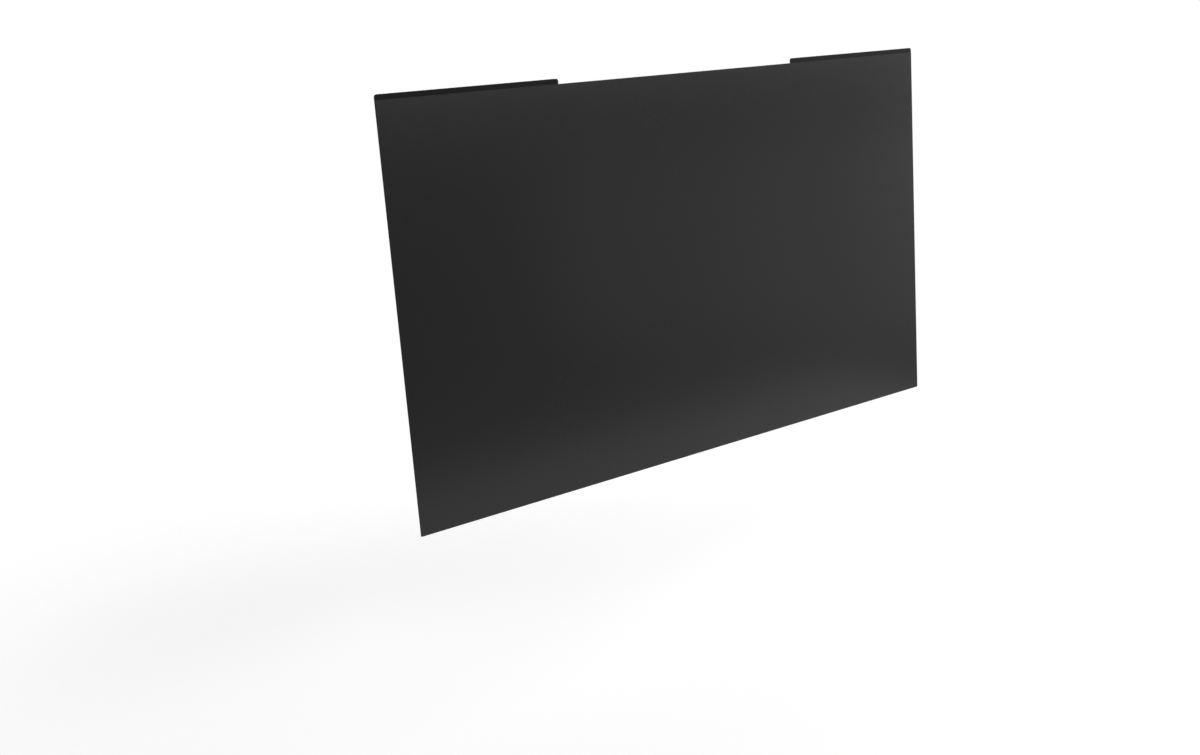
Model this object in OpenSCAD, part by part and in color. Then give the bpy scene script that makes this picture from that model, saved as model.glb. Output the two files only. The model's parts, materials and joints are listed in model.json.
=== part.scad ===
// Privacy filter: a smoked film sheet bonded to two slim strips along its top edge, one at each end.
// A magnet band in the back of each strip holds the filter up.
// X runs to the right, Y from the front to the back, and Z up.
// The origin is at the middle of the sheet's bottom edge, halfway through the strips' thickness.

/* [Sheet] */
// Width of the sheet, side to side
sheet_w = 597; // [360:1:900]
// Height of the sheet, bottom edge to top edge
sheet_h = 340; // [120:1:600]
// Thickness of the sheet
sheet_t = 0.6; // [0.4:0.05:1.2]
// Radius of the sheet's two lower corners
sheet_corner_r = 0.8; // [0.2:0.1:8]

/* [Strips] */
// Length of each strip, along the sheet's top edge
strip_l = 167; // [40:1:290]
// Height that each strip stands above the sheet's top edge
strip_rise = 4.3; // [3.2:0.1:10]
// Radius of each strip's upper corners, seen from the front
strip_corner_r = 2.2; // [0.6:0.1:3]
// Distance that each strip's outer end is set in from the sheet's side edge
strip_inset = 0.2; // [0:0.05:2]
// Depth that the lip reaches down behind the sheet
lip_h = 3.5; // [1.6:0.1:12]
// Thickness of the lip behind the sheet
lip_t = 0.5; // [0.4:0.05:1.5]
// Radius of the lip's lower corners, seen from the back
lip_corner_r = 1; // [0.5:0.1:1.5]
// Rounding of the strip's front edges
front_edge_r = 0.15; // [0.05:0.05:0.3]
// Rounding of the strip's rear edges
rear_edge_r = 0.35; // [0.05:0.05:0.4]
// Gap between the sheet's top edge and the strip's shoulder
shoulder_gap = 0.05; // [0.02:0.01:0.3]

/* [Bonding tape] */
// Thickness of the double-sided tape
tape_t = 0.1; // [0.05:0.05:0.4]
// Distance that the tape stays inside the edges of the lip and the sheet
tape_margin = 0.3; // [0.1:0.05:0.6]

/* [Magnets] */
// Wall of the strip in front of the magnet
pocket_front_wall = 0.4; // [0.3:0.05:0.8]
// Wall of the strip above and below the magnet
pocket_side_wall = 0.5; // [0.4:0.05:1]
// Wall of the strip at each end of the magnet
pocket_end_wall = 3; // [2.4:0.1:10]
// Clearance all round the magnet in its pocket
magnet_gap = 0.05; // [0.02:0.01:0.2]

/* [Hidden] */
$fn = 48;

// The strip is as thick as the sheet, the tape and the lip together, so its front is flush with the sheet.
strip_t = sheet_t + tape_t + lip_t;
strip_h = lip_h + strip_rise;

// Levels through the thickness, from the back to the front
back_level = -strip_t / 2;
lip_level = back_level + lip_t;
tape_level = lip_level + tape_t;

// The left strip's outer end and its lower edge
strip_x = -sheet_w / 2 + strip_inset;
strip_y = sheet_h - lip_h;

// The pocket takes what the walls leave of the strip's head.
pocket_l = strip_l - 2 * pocket_end_wall;
pocket_h = strip_rise - shoulder_gap - 2 * pocket_side_wall;
pocket_d = strip_t - pocket_front_wall;
pocket_y = lip_h + shoulder_gap + pocket_side_wall;

// How far a cut runs past the face that it opens
cut = 1;

// Every piece is drawn lying on its back, X to the right and Y towards its top, and then stood up.
module stand_up() {
    rotate([90, 0, 0]) children();
}

// What a rounding takes off a corner at the origin, where the material lies to the left and above.
module corner_waste(r) {
    difference() {
        translate([-r, -cut]) square(r + cut);
        translate([-r, r]) circle(r);
    }
}

// The strip's section at an edge, back at the bottom: reach is the distance that it covers inwards.
module edge_section(reach) {
    difference() {
        square([reach, strip_t]);
        translate([reach, 0]) corner_waste(rear_edge_r);
        translate([reach, strip_t]) mirror([0, 1]) corner_waste(front_edge_r);
    }
}

// A corner of the strip: the edge's section turned a quarter round, from X to Y.
module strip_corner(r) {
    rotate_extrude(angle = 90) edge_section(r);
}

// A straight edge of the strip, which faces Y and runs along X.
module strip_edge(length, reach) {
    rotate([90, 0, 90]) linear_extrude(length) edge_section(reach);
}

// The right half of the strip's plate, from its middle at X = 0, with its edges rounded all round.
module half_plate() {
    half_l = strip_l / 2;
    upper_y = strip_h - strip_corner_r;
    upper_x = half_l - strip_corner_r;
    lower_x = half_l - lip_corner_r;

    translate([0, lip_corner_r, 0]) cube([upper_x, upper_y - lip_corner_r, strip_t]);
    translate([0, upper_y, 0]) strip_edge(upper_x, strip_corner_r);
    translate([upper_x, upper_y, 0]) strip_corner(strip_corner_r);
    translate([upper_x, upper_y, 0]) rotate(-90) strip_edge(upper_y - lip_corner_r, strip_corner_r);
    translate([lower_x, lip_corner_r, 0]) rotate(-90) strip_corner(lip_corner_r);
    translate([lower_x, lip_corner_r, 0]) rotate(180) strip_edge(lower_x, lip_corner_r);
}

// The strip with its lower left corner at the origin and its back at level 0: the plate less the step that
// the sheet's edge sits in and the pocket in the back for the magnet.
module strip_body() {
    difference() {
        translate([strip_l / 2, 0, 0]) {
            half_plate();
            mirror([1, 0, 0]) half_plate();
        }
        translate([-cut, -cut, lip_t]) cube([strip_l + 2 * cut, lip_h + shoulder_gap + cut, strip_t]);
        translate([pocket_end_wall, pocket_y, -cut]) cube([pocket_l, pocket_h, pocket_d + cut]);
    }
}

// Places what is drawn from the strip's lower left corner.
module at_left_strip() {
    stand_up() translate([strip_x, strip_y, back_level]) children();
}

module at_right_strip() {
    mirror([1, 0, 0]) at_left_strip() children();
}

// Magnet band, with its back flush with the strip's back
module magnet_band() {
    translate([pocket_end_wall + magnet_gap, pocket_y + magnet_gap, 0])
        cube([pocket_l - 2 * magnet_gap, pocket_h - 2 * magnet_gap, pocket_d]);
}

// Tape between the lip and the sheet's back
module tape_band() {
    translate([tape_margin, tape_margin, lip_t])
        cube([strip_l - 2 * tape_margin, lip_h - 2 * tape_margin, tape_t]);
}

module privacy_sheet() {
    color("#3a3b3d")
    stand_up() translate([0, 0, tape_level]) linear_extrude(sheet_t)
        difference() {
            translate([-sheet_w / 2, 0]) square([sheet_w, sheet_h]);
            translate([sheet_w / 2, 0]) corner_waste(sheet_corner_r);
            translate([-sheet_w / 2, 0]) mirror([1, 0]) corner_waste(sheet_corner_r);
        }
}

module left_strip() {
    color("#222224") at_left_strip() strip_body();
}

module right_strip() {
    color("#222224") at_right_strip() strip_body();
}

module left_magnet() {
    color("#3b3634") at_left_strip() magnet_band();
}

module right_magnet() {
    color("#3b3634") at_right_strip() magnet_band();
}

module left_bonding_tape() {
    color("#d8d6cf") at_left_strip() tape_band();
}

module right_bonding_tape() {
    color("#d8d6cf") at_right_strip() tape_band();
}

privacy_sheet();
left_strip();
right_strip();
left_magnet();
right_magnet();
left_bonding_tape();
right_bonding_tape();
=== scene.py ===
# Privacy filter: one sheet of smoked louvre film, with a slim black magnetic strip at each end of its top
# edge. Everything is in metres: X to the right, Y to the back, Z up along the sheet.
import json
import math

import bpy
from mathutils import Euler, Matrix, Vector


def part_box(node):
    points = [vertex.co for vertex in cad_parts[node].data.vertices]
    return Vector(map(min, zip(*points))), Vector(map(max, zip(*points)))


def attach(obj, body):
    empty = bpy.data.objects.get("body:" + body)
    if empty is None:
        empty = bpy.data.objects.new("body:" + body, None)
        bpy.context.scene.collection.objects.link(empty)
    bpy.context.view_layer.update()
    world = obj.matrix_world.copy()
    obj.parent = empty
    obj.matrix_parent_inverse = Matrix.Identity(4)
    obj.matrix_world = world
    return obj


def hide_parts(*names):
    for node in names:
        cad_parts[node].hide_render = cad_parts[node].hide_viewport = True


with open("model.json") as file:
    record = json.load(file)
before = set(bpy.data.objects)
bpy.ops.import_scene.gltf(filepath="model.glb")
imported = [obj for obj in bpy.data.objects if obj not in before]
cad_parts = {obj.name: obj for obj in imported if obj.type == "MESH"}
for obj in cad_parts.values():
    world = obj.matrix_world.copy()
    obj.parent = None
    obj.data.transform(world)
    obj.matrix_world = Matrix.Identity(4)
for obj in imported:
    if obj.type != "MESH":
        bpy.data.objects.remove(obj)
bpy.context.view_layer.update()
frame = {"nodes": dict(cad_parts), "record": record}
cadParts = frame["nodes"]
mm = 0.001
print("frame:", len(cadParts), "parts")


# Small helpers for node trees

def addNode(tree, kind, inputs=None, **settings):
    node = tree.nodes.new(kind)
    for name, value in settings.items():
        setattr(node, name, value)
    for name, value in (inputs or {}).items():
        node.inputs[name].default_value = value
    return node


def feed(tree, socket, value):
    # A socket takes another node's output or a plain value.
    if isinstance(value, bpy.types.NodeSocket):
        tree.links.new(value, socket)
    else:
        socket.default_value = value


def addMath(tree, operation, *values):
    node = addNode(tree, "ShaderNodeMath", operation=operation)
    for socket, value in zip(node.inputs, values):
        feed(tree, socket, value)
    return node.outputs[0]


def addNoise(tree, vector, scale, detail, roughness):
    node = addNode(tree, "ShaderNodeTexNoise", {"Detail": detail, "Roughness": roughness})
    tree.links.new(vector, node.inputs["Vector"])
    tree.links.new(scale, node.inputs["Scale"])
    return node.outputs["Fac"]


def mixColours(tree, factor, first, second):
    node = addNode(tree, "ShaderNodeMix", data_type="RGBA")
    for name, value in (("Factor_Float", factor), ("A_Color", first), ("B_Color", second)):
        feed(tree, next(s for s in node.inputs if s.identifier == name), value)
    return next(s for s in node.outputs if s.identifier == "Result_Color")


def mapRange(tree, value, fromLimits, toLimits=(0.0, 1.0), smooth=False):
    node = addNode(tree, "ShaderNodeMapRange", interpolation_type="SMOOTHSTEP" if smooth else "LINEAR")
    names = ("Value", "From Min", "From Max", "To Min", "To Max")
    for name, amount in zip(names, (value, *fromLimits, *toLimits)):
        feed(tree, node.inputs[name], amount)
    return node.outputs["Result"]


def startGroup(name, inputs, outputs):
    tree = bpy.data.node_groups.new(name, "ShaderNodeTree")
    for label, kind, default in inputs:
        socket = tree.interface.new_socket(name=label, in_out="INPUT", socket_type=kind)
        socket.default_value = default
    for label, kind in outputs:
        tree.interface.new_socket(name=label, in_out="OUTPUT", socket_type=kind)
    return tree, tree.nodes.new("NodeGroupInput"), tree.nodes.new("NodeGroupOutput")


def placeGroup(tree, group, values):
    return addNode(tree, "ShaderNodeGroup", values, node_tree=group)


# Surface effects that several finishes share
effectSettings = {
    "grainNoise": (2.0, 0.5),           # detail and roughness of each noise
    "patchNoise": (3.0, 0.55),
    "patchScale": 0.11,                 # beside the grain's own scale
    "patchLimits": (0.35, 0.65),
    "flatFrom": 0.995,                  # how squarely a flat face looks to the front or the back
    "driftNoise": (1.5, 0.45),
    "driftLimits": (0.3, 0.7),
}


def makeSurfaceGrain(settings):
    # Fine uneven grain. Size is the grain in millimetres, Stretch lengthens it along each axis.
    tree, given, result = startGroup(
        "surfaceGrain",
        (("Size", "NodeSocketFloat", 0.5), ("Stretch", "NodeSocketVector", (1, 1, 1)),
         ("Contrast", "NodeSocketFloat", 1.0)),
        (("Height", "NodeSocketFloat"), ("Patches", "NodeSocketFloat")))
    place = tree.nodes.new("ShaderNodeTexCoord")
    stretched = addNode(tree, "ShaderNodeVectorMath", operation="DIVIDE")
    tree.links.new(place.outputs["Object"], stretched.inputs[0])
    tree.links.new(given.outputs["Stretch"], stretched.inputs[1])
    sizeInMetres = addMath(tree, "MULTIPLY", given.outputs["Size"], mm)
    grainScale = addMath(tree, "DIVIDE", 1.0, sizeInMetres)
    grain = addNoise(tree, stretched.outputs[0], grainScale, *settings["grainNoise"])
    patchScale = addMath(tree, "MULTIPLY", grainScale, settings["patchScale"])
    patches = addNoise(tree, stretched.outputs[0], patchScale, *settings["patchNoise"])
    raised = addMath(tree, "SUBTRACT", grain, 0.5)
    raised = addMath(tree, "MULTIPLY", raised, given.outputs["Contrast"])
    tree.links.new(addMath(tree, "ADD", raised, 0.5), result.inputs["Height"])
    tree.links.new(mapRange(tree, patches, settings["patchLimits"], smooth=True), result.inputs["Patches"])
    return tree


def makeCutEdge(settings):
    # 1 on the narrow faces round a flat part, 0 on its front and back.
    tree, given, result = startGroup(
        "cutEdge", (("Spread", "NodeSocketFloat", 0.5),), (("Mask", "NodeSocketFloat"),))
    facing = tree.nodes.new("ShaderNodeTexCoord")
    split = tree.nodes.new("ShaderNodeSeparateXYZ")
    tree.links.new(facing.outputs["Normal"], split.inputs[0])
    across = addMath(tree, "ABSOLUTE", split.outputs["Y"])
    start = addMath(tree, "SUBTRACT", 1.0, given.outputs["Spread"])
    mask = mapRange(tree, across, (start, settings["flatFrom"]), (1.0, 0.0), smooth=True)
    tree.links.new(mask, result.inputs["Mask"])
    return tree


def makeToneDrift(settings):
    # Slow change between two close tones over the width of a part. Reach is in millimetres.
    tree, given, result = startGroup(
        "toneDrift",
        (("Tone", "NodeSocketColor", (0.02, 0.02, 0.02, 1)),
         ("Drift Tone", "NodeSocketColor", (0.03, 0.03, 0.03, 1)),
         ("Reach", "NodeSocketFloat", 100.0)),
        (("Colour", "NodeSocketColor"),))
    place = tree.nodes.new("ShaderNodeTexCoord")
    scale = addMath(tree, "DIVIDE", 1.0 / mm, given.outputs["Reach"])
    clouds = addNoise(tree, place.outputs["Object"], scale, *settings["driftNoise"])
    amount = mapRange(tree, clouds, settings["driftLimits"], smooth=True)
    tree.links.new(mixColours(tree, amount, given.outputs["Tone"], given.outputs["Drift Tone"]),
                   result.inputs["Colour"])
    return tree


surfaceGrain = makeSurfaceGrain(effectSettings)
cutEdge = makeCutEdge(effectSettings)
toneDrift = makeToneDrift(effectSettings)


# What the finishes have in common: drifting tones, other values on the cut edges, roughness and bump

def startMaterial(name, finish):
    material = bpy.data.materials.new(name)
    material.use_nodes = True
    material.diffuse_color = finish["preview"]
    tree = material.node_tree
    shader = next(n for n in tree.nodes if n.type == "BSDF_PRINCIPLED")
    shader.inputs["Specular IOR Level"].default_value = finish["specular"]
    return material, tree, shader


def addDrift(tree, finish):
    drift = placeGroup(tree, toneDrift, {"Tone": finish["tone"], "Drift Tone": finish["driftTone"],
                                         "Reach": finish["driftReach"]})
    return drift.outputs["Colour"]


def addEdgeMask(tree, finish):
    return placeGroup(tree, cutEdge, {"Spread": finish["edgeSpread"]}).outputs["Mask"]


def addRoughness(tree, shader, patches, edge, finish):
    # Roughness wanders between the finish's two values over the patches, and has its own at the edges.
    blend = addNode(tree, "ShaderNodeMix", {"B": finish["edgeRoughness"]}, data_type="FLOAT")
    tree.links.new(edge, blend.inputs["Factor"])
    tree.links.new(mapRange(tree, patches, (0.0, 1.0), finish["roughness"]), blend.inputs["A"])
    tree.links.new(blend.outputs["Result"], shader.inputs["Roughness"])


def addBump(tree, shader, height, depth):
    bump = addNode(tree, "ShaderNodeBump", {"Strength": 1.0, "Distance": depth})
    tree.links.new(height, bump.inputs["Height"])
    tree.links.new(bump.outputs["Normal"], shader.inputs["Normal"])


def makeGrainedMaterial(name, finish):
    # Plastic or tape: one grain over drifting tones, with another tone at the edges: on the strips a
    # painted highlight, on the tape dust.
    material, tree, shader = startMaterial(name, finish)
    grain = placeGroup(tree, surfaceGrain, {"Size": finish["grainSize"],
                                            "Contrast": finish["grainContrast"]})
    edge = addEdgeMask(tree, finish)
    colour = mixColours(tree, edge, addDrift(tree, finish), finish["edgeTone"])
    tree.links.new(colour, shader.inputs["Base Color"])
    addRoughness(tree, shader, grain.outputs["Patches"], edge, finish)
    addBump(tree, shader, grain.outputs["Height"], finish["grainDepth"])
    return material


# Smoked film: a neutral, satin charcoal laminate with faint upright streaks from its louvres.
filmFinish = {
    "tone": (0.0056, 0.0056, 0.0057, 1),
    "driftTone": (0.0065, 0.0065, 0.0066, 1),
    "driftReach": 260.0,                       # mm
    "streakTone": (0.0082, 0.0082, 0.0083, 1),
    "streakSize": 1.1,                         # mm across, and much longer upwards
    "streakStretch": (1.0, 1.0, 90.0),
    "streakLimits": (0.4, 0.7),
    "streakAmount": 0.04,
    "coreTone": (0.0012, 0.0012, 0.0013, 1),   # the louvre layer, seen where the film is cut
    "skinTone": (0.0120, 0.0120, 0.0125, 1),   # the clear outer films on both sides of it
    "coreThickness": 0.36 * mm,
    "layerBlend": 0.02 * mm,
    "edgeSpread": 0.35,
    "grainSize": 0.55,                         # mm
    "grainDepth": 0.001 * mm,
    "roughness": (0.20, 0.22),
    "edgeRoughness": 0.62,
    "specular": 0.145,
    "alpha": 0.997,                            # next to no light gets through at a slant
    "preview": (0.04, 0.04, 0.042, 1),
}


def addCutLayers(tree, finish):
    # The laminate as its cut edge shows it: a dark core between two paler skins.
    low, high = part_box("privacy_sheet")
    place = tree.nodes.new("ShaderNodeTexCoord")
    split = tree.nodes.new("ShaderNodeSeparateXYZ")
    tree.links.new(place.outputs["Object"], split.inputs[0])
    fromMiddle = addMath(tree, "SUBTRACT", split.outputs["Y"], (low[1] + high[1]) / 2)
    depth = addMath(tree, "ABSOLUTE", fromMiddle)
    halfCore = finish["coreThickness"] / 2
    blend = finish["layerBlend"]
    isSkin = mapRange(tree, depth, (halfCore - blend, halfCore + blend), smooth=True)
    return mixColours(tree, isSkin, finish["coreTone"], finish["skinTone"])


def makeFilmMaterial(finish):
    material, tree, shader = startMaterial("smokedFilm", finish)
    shader.inputs["Alpha"].default_value = finish["alpha"]
    streaks = placeGroup(tree, surfaceGrain, {"Size": finish["streakSize"],
                                              "Stretch": finish["streakStretch"]})
    grain = placeGroup(tree, surfaceGrain, {"Size": finish["grainSize"]})
    edge = addEdgeMask(tree, finish)
    streakShare = mapRange(tree, streaks.outputs["Height"], finish["streakLimits"],
                           (0.0, finish["streakAmount"]), smooth=True)
    colour = mixColours(tree, streakShare, addDrift(tree, finish), finish["streakTone"])
    colour = mixColours(tree, edge, colour, addCutLayers(tree, finish))
    tree.links.new(colour, shader.inputs["Base Color"])
    addRoughness(tree, shader, grain.outputs["Patches"], edge, finish)
    height = addMath(tree, "ADD", grain.outputs["Height"], streaks.outputs["Height"])
    addBump(tree, shader, height, finish["grainDepth"])
    return material


# Strip plastic: black, moulded, with a fine spark-eroded grain that is smoother on the rims, where a
# lighter tone paints a highlight.
stripFinish = {
    "tone": (0.0016, 0.0016, 0.0017, 1),
    "driftTone": (0.0024, 0.0024, 0.0025, 1),
    "driftReach": 55.0,
    # lighter on the rims and narrow faces: a painted highlight
    "edgeTone": (0.0030, 0.0030, 0.0031, 1),
    "edgeSpread": 0.30,
    "grainSize": 0.40,
    "grainContrast": 1.4,
    "grainDepth": 0.006 * mm,
    "roughness": (0.36, 0.40),
    "edgeRoughness": 0.30,
    "specular": 0.052,
    "preview": (0.014, 0.014, 0.015, 1),
}

# Magnet band: dark ferrite-filled rubber, matt, drawn out lengthwise and slit along its sides.
magnetFinish = {
    "tone": (0.030, 0.0255, 0.0235, 1),
    "driftTone": (0.041, 0.0355, 0.0325, 1),
    "driftReach": 38.0,
    "speckTone": (0.058, 0.053, 0.050, 1),
    "speckSize": 0.45,
    "speckLimits": (0.60, 0.72),
    "speckAmount": 0.7,
    "edgeTone": (0.055, 0.049, 0.045, 1),      # where it is slit
    "edgeSpread": 0.30,
    "drawnSize": 0.5,
    "drawnStretch": (70.0, 1.0, 1.0),
    "grainDepth": 0.012 * mm,
    "roughness": (0.66, 0.80),
    "edgeRoughness": 0.85,
    "specular": 0.30,
    "preview": (0.045, 0.038, 0.035, 1),
}


def makeMagnetMaterial(finish):
    material, tree, shader = startMaterial("magnetRubber", finish)
    specks = placeGroup(tree, surfaceGrain, {"Size": finish["speckSize"]})
    drawn = placeGroup(tree, surfaceGrain, {"Size": finish["drawnSize"],
                                            "Stretch": finish["drawnStretch"]})
    edge = addEdgeMask(tree, finish)
    speckShare = mapRange(tree, specks.outputs["Height"], finish["speckLimits"],
                          (0.0, finish["speckAmount"]), smooth=True)
    colour = mixColours(tree, speckShare, addDrift(tree, finish), finish["speckTone"])
    colour = mixColours(tree, edge, colour, finish["edgeTone"])
    tree.links.new(colour, shader.inputs["Base Color"])
    addRoughness(tree, shader, specks.outputs["Patches"], edge, finish)
    height = addMath(tree, "ADD", specks.outputs["Height"], drawn.outputs["Height"])
    addBump(tree, shader, height, finish["grainDepth"])
    return material


# Bonding tape: thin milky acrylic tape, a little greyer where its cut edge has picked up dust.
tapeFinish = {
    "tone": (0.58, 0.57, 0.53, 1),
    "driftTone": (0.66, 0.65, 0.61, 1),
    "driftReach": 24.0,
    "edgeTone": (0.34, 0.33, 0.31, 1),
    "edgeSpread": 0.30,
    "grainSize": 0.6,
    "grainContrast": 1.0,
    "grainDepth": 0.008 * mm,
    "roughness": (0.42, 0.55),
    "edgeRoughness": 0.70,
    "specular": 0.40,
    "preview": (0.6, 0.59, 0.55, 1),
}

finishes = {
    "smoked_film": makeFilmMaterial(filmFinish),
    "strip_black": makeGrainedMaterial("stripPlastic", stripFinish),
    "magnet_band": makeMagnetMaterial(magnetFinish),
    "bonding_tape": makeGrainedMaterial("bondingTape", tapeFinish),
}
print("finishes:", len(finishes))

# Every CAD solid gets its finish. The strips, magnets and tapes stay as they are, and the film takes the
# sheet's place below.
for subpart in frame["record"]["subparts"]:
    part = cadParts[subpart["node"]]
    part.material_slots[0].material = finishes[subpart["material_slot"]]


# The film: a blank with rounded corners, die-cut so that its edges roll over a little
filmShape = {
    "lowerRadius": 0.8 * mm,
    "upperRadius": 0.15 * mm,
    "cornerSteps": 10,
    "edgeRoll": 0.07 * mm,
    "edgeSteps": 3,
    "sharpAngle": 60,           # degrees between two faces from which their edge rolls over
}
weldDistance = 0.001 * mm


def makeFilmTree():
    tree = bpy.data.node_groups.new("dieCutBlank", "GeometryNodeTree")
    tree.is_modifier = True
    tree.interface.new_socket(name="Geometry", in_out="INPUT", socket_type="NodeSocketGeometry")
    for label in ("Width", "Height", "Thickness", "Lower Radius", "Upper Radius"):
        tree.interface.new_socket(name=label, in_out="INPUT", socket_type="NodeSocketFloat")
    tree.interface.new_socket(name="Corner Steps", in_out="INPUT", socket_type="NodeSocketInt")
    tree.interface.new_socket(name="Finish", in_out="INPUT", socket_type="NodeSocketMaterial")
    tree.interface.new_socket(name="Geometry", in_out="OUTPUT", socket_type="NodeSocketGeometry")
    given = tree.nodes.new("NodeGroupInput")
    result = tree.nodes.new("NodeGroupOutput")
    link = tree.links.new

    outline = addNode(tree, "GeometryNodeCurvePrimitiveQuadrilateral", mode="RECTANGLE")
    link(given.outputs["Width"], outline.inputs["Width"])
    link(given.outputs["Height"], outline.inputs["Height"])

    # The corners below the middle take the lower radius, the others the upper one.
    place = tree.nodes.new("GeometryNodeInputPosition")
    split = tree.nodes.new("ShaderNodeSeparateXYZ")
    link(place.outputs[0], split.inputs[0])
    isUpper = addNode(tree, "FunctionNodeCompare", data_type="FLOAT", operation="GREATER_THAN")
    link(split.outputs["Y"], isUpper.inputs[0])
    radius = addNode(tree, "GeometryNodeSwitch", input_type="FLOAT")
    link(isUpper.outputs[0], radius.inputs["Switch"])
    link(given.outputs["Lower Radius"], radius.inputs["False"])
    link(given.outputs["Upper Radius"], radius.inputs["True"])
    rounded = addNode(tree, "GeometryNodeFilletCurve", mode="POLY")
    link(outline.outputs[0], rounded.inputs["Curve"])
    link(radius.outputs[0], rounded.inputs["Radius"])
    link(given.outputs["Corner Steps"], rounded.inputs["Count"])

    # Filled, and drawn out to the film's thickness, with the face that it started from as its back
    face = addNode(tree, "GeometryNodeFillCurve", mode="NGONS")
    link(rounded.outputs[0], face.inputs[0])
    plate = addNode(tree, "GeometryNodeExtrudeMesh", {"Individual": False}, mode="FACES")
    link(face.outputs[0], plate.inputs["Mesh"])
    link(given.outputs["Thickness"], plate.inputs["Offset Scale"])
    back = tree.nodes.new("GeometryNodeFlipFaces")
    link(face.outputs[0], back.inputs[0])
    joined = tree.nodes.new("GeometryNodeJoinGeometry")
    link(plate.outputs["Mesh"], joined.inputs[0])
    link(back.outputs[0], joined.inputs[0])
    welded = addNode(tree, "GeometryNodeMergeByDistance", {"Distance": weldDistance})
    link(joined.outputs[0], welded.inputs[0])

    # Stood up on its lower edge, front towards -Y
    lift = tree.nodes.new("ShaderNodeCombineXYZ")
    link(addMath(tree, "DIVIDE", given.outputs["Height"], 2.0), lift.inputs["Z"])
    upright = addNode(tree, "GeometryNodeTransform", {"Rotation": (math.pi / 2, 0, 0)})
    link(welded.outputs[0], upright.inputs[0])
    link(lift.outputs[0], upright.inputs["Translation"])

    realized = tree.nodes.new("GeometryNodeRealizeInstances")
    link(upright.outputs[0], realized.inputs[0])
    finished = tree.nodes.new("GeometryNodeSetMaterial")
    link(realized.outputs[0], finished.inputs[0])
    link(given.outputs["Finish"], finished.inputs["Material"])
    link(finished.outputs[0], result.inputs[0])
    return tree


def makeFilm(shape):
    low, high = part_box("privacy_sheet")
    blank = bpy.data.objects.new("filmBlank", bpy.data.meshes.new("filmBlank"))
    bpy.context.scene.collection.objects.link(blank)
    cutting = blank.modifiers.new("dieCutBlank", "NODES")
    cutting.node_group = makeFilmTree()
    inputs = {
        "Width": high[0] - low[0],
        "Height": high[2] - low[2],
        "Thickness": high[1] - low[1],
        "Lower Radius": shape["lowerRadius"],
        "Upper Radius": shape["upperRadius"],
        "Corner Steps": shape["cornerSteps"],
        "Finish": finishes["smoked_film"],
    }
    for socket in cutting.node_group.interface.items_tree:
        if socket.name in inputs:
            cutting[socket.identifier] = inputs[socket.name]
    rolled = blank.modifiers.new("edgeRoll", "BEVEL")
    rolled.width = shape["edgeRoll"]
    rolled.segments = shape["edgeSteps"]
    rolled.limit_method = "ANGLE"
    rolled.angle_limit = math.radians(shape["sharpAngle"])

    mesh = bpy.data.meshes.new_from_object(blank.evaluated_get(bpy.context.evaluated_depsgraph_get()))
    bpy.data.objects.remove(blank)
    film = bpy.data.objects.new("smokedFilmSheet", mesh)
    bpy.context.scene.collection.objects.link(film)
    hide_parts("privacy_sheet")
    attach(film, "root")
    return film


film = makeFilm(filmShape)
print("film:", len(film.data.polygons), "faces", [round(v / mm, 3) for v in film.dimensions])


# Stage: a pale floor that fades into a white surround, seen white by camera, gloss and glass
stageSettings = {
    "floorZ": -178 * mm,
    "floorRadius": 3.0,
    "fadeStart": 0.40,
    "fadeEnd": 0.95,
    "floorTone": (0.86, 0.86, 0.86, 1),
    "floorGlow": 0.42,          # only as the camera, gloss and glass see it
    "surround": 0.24,           # what the surround gives to matt surfaces
}


def seenDirectly(tree):
    paths = tree.nodes.new("ShaderNodeLightPath")
    seen = addMath(tree, "MAXIMUM", paths.outputs["Is Camera Ray"], paths.outputs["Is Glossy Ray"])
    return addMath(tree, "MAXIMUM", seen, paths.outputs["Is Transmission Ray"])


def makeSurround(settings):
    world = bpy.data.worlds.new("whiteSurround")
    world.use_nodes = True
    tree = world.node_tree
    background = next(n for n in tree.nodes if n.type == "BACKGROUND")
    background.inputs["Color"].default_value = (1, 1, 1, 1)
    strength = mapRange(tree, seenDirectly(tree), (0.0, 1.0), (settings["surround"], 1.0))
    tree.links.new(strength, background.inputs["Strength"])
    bpy.context.scene.world = world


def makeFloorMaterial(settings):
    material = bpy.data.materials.new("paleFloor")
    material.use_nodes = True
    tree = material.node_tree
    tree.nodes.clear()
    output = tree.nodes.new("ShaderNodeOutputMaterial")
    matt = addNode(tree, "ShaderNodeBsdfDiffuse", {"Color": settings["floorTone"]})
    glow = addNode(tree, "ShaderNodeEmission", {"Color": (1, 1, 1, 1)})
    glowStrength = addMath(tree, "MULTIPLY", seenDirectly(tree), settings["floorGlow"])
    tree.links.new(glowStrength, glow.inputs["Strength"])
    lit = tree.nodes.new("ShaderNodeAddShader")
    tree.links.new(matt.outputs[0], lit.inputs[0])
    tree.links.new(glow.outputs[0], lit.inputs[1])

    # Clear from the fade's end outwards, so that the floor has no edge
    clear = tree.nodes.new("ShaderNodeBsdfTransparent")
    place = tree.nodes.new("ShaderNodeTexCoord")
    distance = addNode(tree, "ShaderNodeVectorMath", operation="LENGTH")
    tree.links.new(place.outputs["Object"], distance.inputs[0])
    fade = mapRange(tree, distance.outputs["Value"], (settings["fadeStart"], settings["fadeEnd"]),
                    smooth=True)
    blend = tree.nodes.new("ShaderNodeMixShader")
    tree.links.new(fade, blend.inputs[0])
    tree.links.new(lit.outputs[0], blend.inputs[1])
    tree.links.new(clear.outputs[0], blend.inputs[2])
    tree.links.new(blend.outputs[0], output.inputs["Surface"])
    return material


def makeFloor(settings):
    reach = settings["floorRadius"]
    corners = [(-reach, -reach, 0), (reach, -reach, 0), (reach, reach, 0), (-reach, reach, 0)]
    mesh = bpy.data.meshes.new("studioFloor")
    mesh.from_pydata(corners, [], [(0, 1, 2, 3)])
    mesh.materials.append(makeFloorMaterial(settings))
    floor = bpy.data.objects.new("studioFloor", mesh)
    floor.location.z = settings["floorZ"]
    bpy.context.scene.collection.objects.link(floor)


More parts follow.
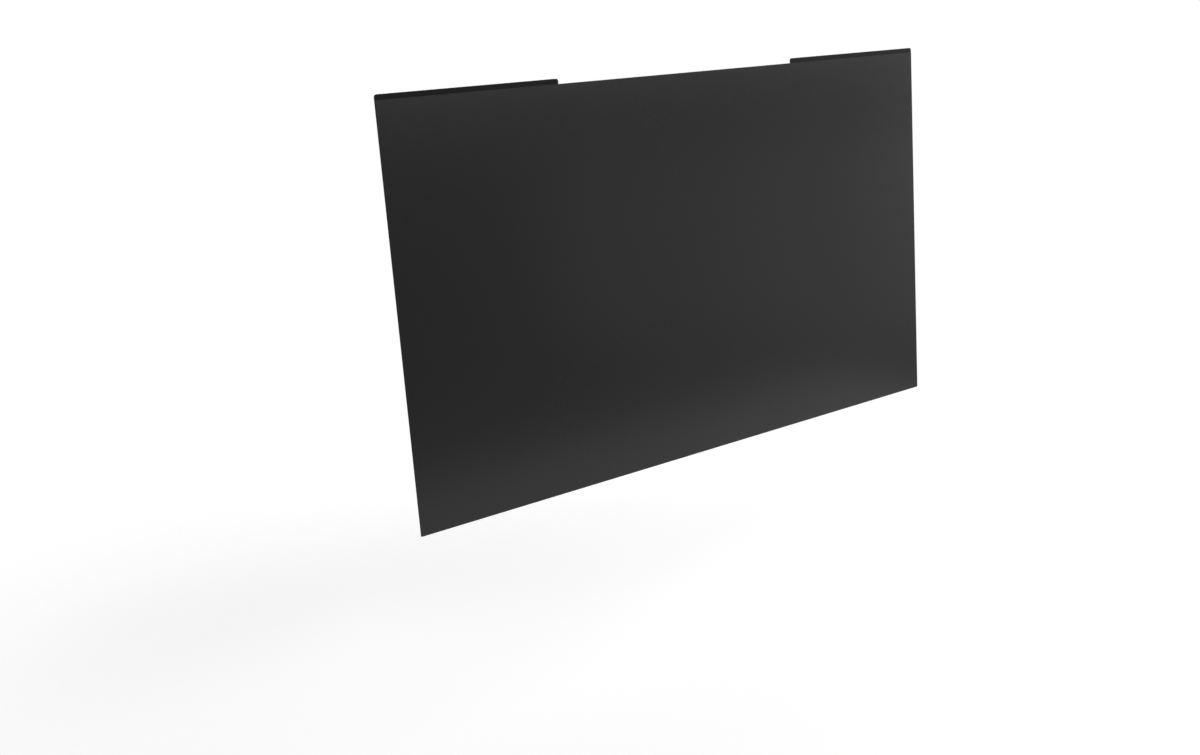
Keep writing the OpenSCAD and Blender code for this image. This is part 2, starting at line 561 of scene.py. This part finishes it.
# Lamps: each has a place, the point it faces, a size and the brightness of its face.
lamps = {
    "keyLamp": {"place": (-1.5, -1.7, 1.9), "aim": (0, 0, 0.15), "size": (1.5, 1.1), "glow": 1.93},
    "frontLamp": {"place": (1.25, -2.0, 0.92), "aim": (0, 0, 0.92), "size": (2.3, 1.0), "glow": 5.78},
    "rightLamp": {"place": (2.2, -0.75, 0.35), "aim": (0.1, 0, 0.2), "size": (1.1, 0.9), "glow": 2.8},
    "lowLamp": {"place": (1.60, -1.30, -0.10), "aim": (0.1, 0, 0.08), "size": (1.5, 0.48), "glow": 0.7},
    "tableLamp": {"place": (0.2, -0.43, -0.17), "aim": (0.2, -0.43, 1), "size": (1.2, 0.36), "glow": 1.58},
    "backLamp": {"place": (0.7, 2.0, 0.5), "aim": (0, 0, 0.17), "size": (1.8, 0.8), "glow": 6.2},
}


def makeLamp(name, settings):
    lamp = bpy.data.lights.new(name, "AREA")
    lamp.shape = "RECTANGLE"
    lamp.size, lamp.size_y = settings["size"]
    lamp.energy = settings["glow"] * math.pi * lamp.size * lamp.size_y
    holder = bpy.data.objects.new(name, lamp)
    holder.location = settings["place"]
    aim = Vector(settings["aim"]) - holder.location
    holder.rotation_euler = aim.to_track_quat("-Z", "Y").to_euler()
    holder.visible_camera = False
    bpy.context.scene.collection.objects.link(holder)


# Camera: where the photograph was taken from, solved from the film's corners and the strips' ends
cameraSettings = {
    "place": (-792.07 * mm, -919.73 * mm, 363.81 * mm),
    "turn": (76.6181, 4.1072, -37.4950),
    "focalPixels": 1375.07,
    "imageWidth": 1200,
    "sensorWidth": 36.0,
    "clip": (0.01, 50.0),
}


def makeCamera(settings):
    camera = bpy.data.cameras.new("photoCamera")
    camera.sensor_fit = "HORIZONTAL"
    camera.sensor_width = settings["sensorWidth"]
    camera.lens = settings["sensorWidth"] * settings["focalPixels"] / settings["imageWidth"]
    camera.clip_start, camera.clip_end = settings["clip"]
    camera.dof.use_dof = False
    holder = bpy.data.objects.new("photoCamera", camera)
    holder.location = settings["place"]
    holder.rotation_euler = Euler([math.radians(angle) for angle in settings["turn"]], "XYZ")
    bpy.context.scene.collection.objects.link(holder)
    bpy.context.scene.camera = holder


makeSurround(stageSettings)
makeFloor(stageSettings)
for lampName, lampSettings in lamps.items():
    makeLamp(lampName, lampSettings)
makeCamera(cameraSettings)
bpy.context.scene.view_settings.view_transform = "Standard"
print("stage:", len(lamps), "lamps")
